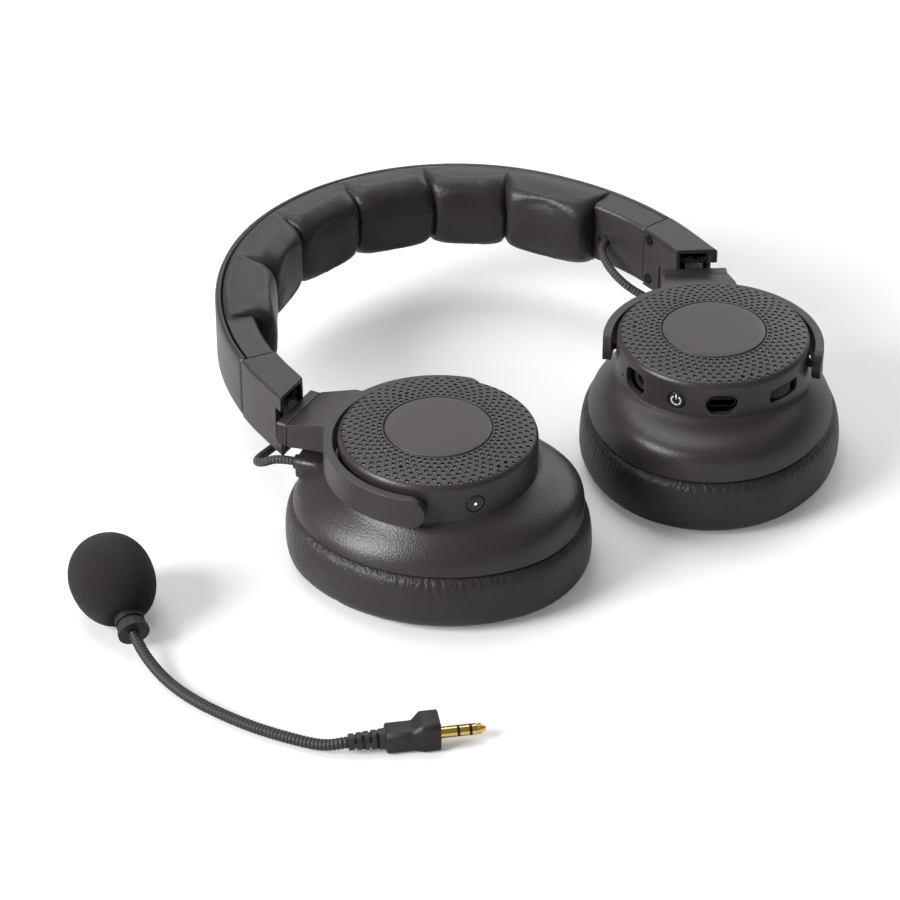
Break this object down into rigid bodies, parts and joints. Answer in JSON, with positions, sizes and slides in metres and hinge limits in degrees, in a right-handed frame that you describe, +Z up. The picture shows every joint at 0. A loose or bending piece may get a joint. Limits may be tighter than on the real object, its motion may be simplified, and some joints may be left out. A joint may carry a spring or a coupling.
{
  "type": "folding over-ear headset",
  "caption": "Folding wireless over-ear headset with padded band, swivelling ear cups and a plug-in boom microphone lying beside it.",
  "frame": {"origin": "on the table, below the middle of the bounding box of the headset and its boom", "axes": "+Z up from the table the ear cushions lie on, +Y from the ear cups to the top of the band, +X to the wearer's left cup"},
  "size_m": [0.2678, 0.2402, 0.0497],
  "materials": {
    "satin_case": "satin, fine texture",
    "dark_case": "matt",
    "leatherette": "soft grain, slight sheen",
    "foam": "open-cell foam",
    "mesh": "fine woven mesh",
    "braid": "braided sleeve",
    "spring_steel": "brushed",
    "black_metal": "blackened",
    "gold": "polished gold plating",
    "soft_rubber": "matt",
    "board": "solder mask",
    "cell": "foil pouch",
    "port_steel": "satin"
  },
  "bodies": {
    "headband": {"headband_shell": "satin_case", "headband_spring": "spring_steel", "headband_pad": "leatherette", "left_end_cover": "satin_case", "right_end_cover": "satin_case", "left_lead": "braid", "right_lead": "braid"},
    "left_slider": {"left_slider_strip": "spring_steel", "left_hinge_housing": "satin_case", "left_housing_cover": "satin_case", "left_housing_screws": "black_metal", "left_hinge_bracket": "dark_case", "left_fold_pin": "black_metal"},
    "left_knuckle": {"left_hinge_knuckle": "satin_case", "left_swivel_bolt": "black_metal"},
    "left_yoke_arm": {"left_yoke": "satin_case", "left_pivot_pins": "black_metal"},
    "left_cup": {"left_cup_shell": "satin_case", "left_centre_disc": "satin_case", "left_baffle": "dark_case", "left_driver": "dark_case", "left_cushion_ring": "dark_case", "left_ear_cushion": "leatherette", "left_scrim": "mesh", "left_circuit_board": "board", "left_strain_relief": "soft_rubber", "boom_jack": "dark_case", "usb_port": "port_steel"},
    "right_slider": {"right_slider_strip": "spring_steel", "right_hinge_housing": "satin_case", "right_housing_cover": "satin_case", "right_housing_screws": "black_metal", "right_hinge_bracket": "dark_case", "right_fold_pin": "black_metal"},
    "right_knuckle": {"right_hinge_knuckle": "satin_case", "right_swivel_bolt": "black_metal"},
    "right_yoke_arm": {"right_yoke": "satin_case", "right_pivot_pins": "black_metal"},
    "right_cup": {"right_cup_shell": "satin_case", "right_centre_disc": "satin_case", "right_baffle": "dark_case", "right_driver": "dark_case", "right_cushion_ring": "dark_case", "right_ear_cushion": "leatherette", "right_scrim": "mesh", "right_circuit_board": "board", "right_strain_relief": "soft_rubber", "battery": "cell"},
    "power_button": {"power_button": "satin_case"},
    "mute_button": {"mute_button": "satin_case"},
    "volume_wheel": {"volume_wheel": "dark_case"},
    "boom": {"plug_body": "dark_case", "plug_contacts": "gold", "plug_insulators": "dark_case", "boom_boot": "soft_rubber", "gooseneck": "soft_rubber"},
    "microphone": {"mic_housing": "dark_case", "mic_capsule": "port_steel", "mic_foam": "foam"}
  },
  "joints": [
    {"name": "left_length", "type": "slide", "parent": "headband", "child": "left_slider", "axis": [0.1132, -0.9936, 0], "range_m": [0, 0.018], "deforming": ["left_lead"]},
    {"name": "left_fold", "type": "hinge", "parent": "left_slider", "child": "left_knuckle", "pos_m": [0.11505, 0.01522, 0.03675], "axis": [0, 0, 1], "range_deg": [0, 29.2], "deforming": ["left_lead"]},
    {"name": "left_swivel", "type": "hinge", "parent": "left_knuckle", "child": "left_yoke_arm", "pos_m": [0.11505, 0.01522, 0.03675], "axis": [0.4879, 0.8729, 0], "range_deg": [0, 90], "deforming": ["left_lead"]},
    {"name": "left_tilt", "type": "hinge", "parent": "left_yoke_arm", "child": "left_cup", "pos_m": [0.08788, -0.03316, 0.0403], "axis": [-0.7408, 0.6717, 0], "range_deg": [-2, 12], "deforming": ["left_lead"]},
    {"name": "right_length", "type": "slide", "parent": "headband", "child": "right_slider", "axis": [-0.1132, -0.9936, 0], "range_m": [0, 0.018], "deforming": ["right_lead"]},
    {"name": "right_fold", "type": "hinge", "parent": "right_slider", "child": "right_knuckle", "pos_m": [-0.04504, 0.01522, 0.03675], "axis": [0, 0, -1], "range_deg": [0, 29.2], "deforming": ["right_lead"]},
    {"name": "right_swivel", "type": "hinge", "parent": "right_knuckle", "child": "right_yoke_arm", "pos_m": [-0.04504, 0.01522, 0.03675], "axis": [0.4879, -0.8729, 0], "range_deg": [0, 90], "deforming": ["right_lead"]},
    {"name": "right_tilt", "type": "hinge", "parent": "right_yoke_arm", "child": "right_cup", "pos_m": [-0.01788, -0.03316, 0.0403], "axis": [-0.7408, -0.6717, 0], "range_deg": [-2, 12], "deforming": ["right_lead"]},
    {"name": "power_press", "type": "slide", "parent": "left_cup", "child": "power_button", "axis": [0.848, 0.5299, 0], "range_m": [0, 0.0006], "stiffness_N_per_m": 1500},
    {"name": "mute_press", "type": "slide", "parent": "right_cup", "child": "mute_button", "axis": [0.1874, 0.9823, 0], "range_m": [0, 0.0006], "stiffness_N_per_m": 1500},
    {"name": "volume_turn", "type": "hinge", "parent": "left_cup", "child": "volume_wheel", "pos_m": [0.09294, -0.05601, 0.0403], "axis": [0, 0, 1], "continuous": true},
    {"name": "boom_lift", "type": "slide", "parent": "headband", "child": "boom", "axis": [0, 0, 1], "range_m": [0, 0.15]},
    {"name": "microphone_bend", "type": "hinge", "parent": "boom", "child": "microphone", "pos_m": [-0.11903, -0.06731, 0.007], "axis": [0, 0, 1], "range_deg": [-30, 30], "deforming": ["gooseneck"]}
  ]
}
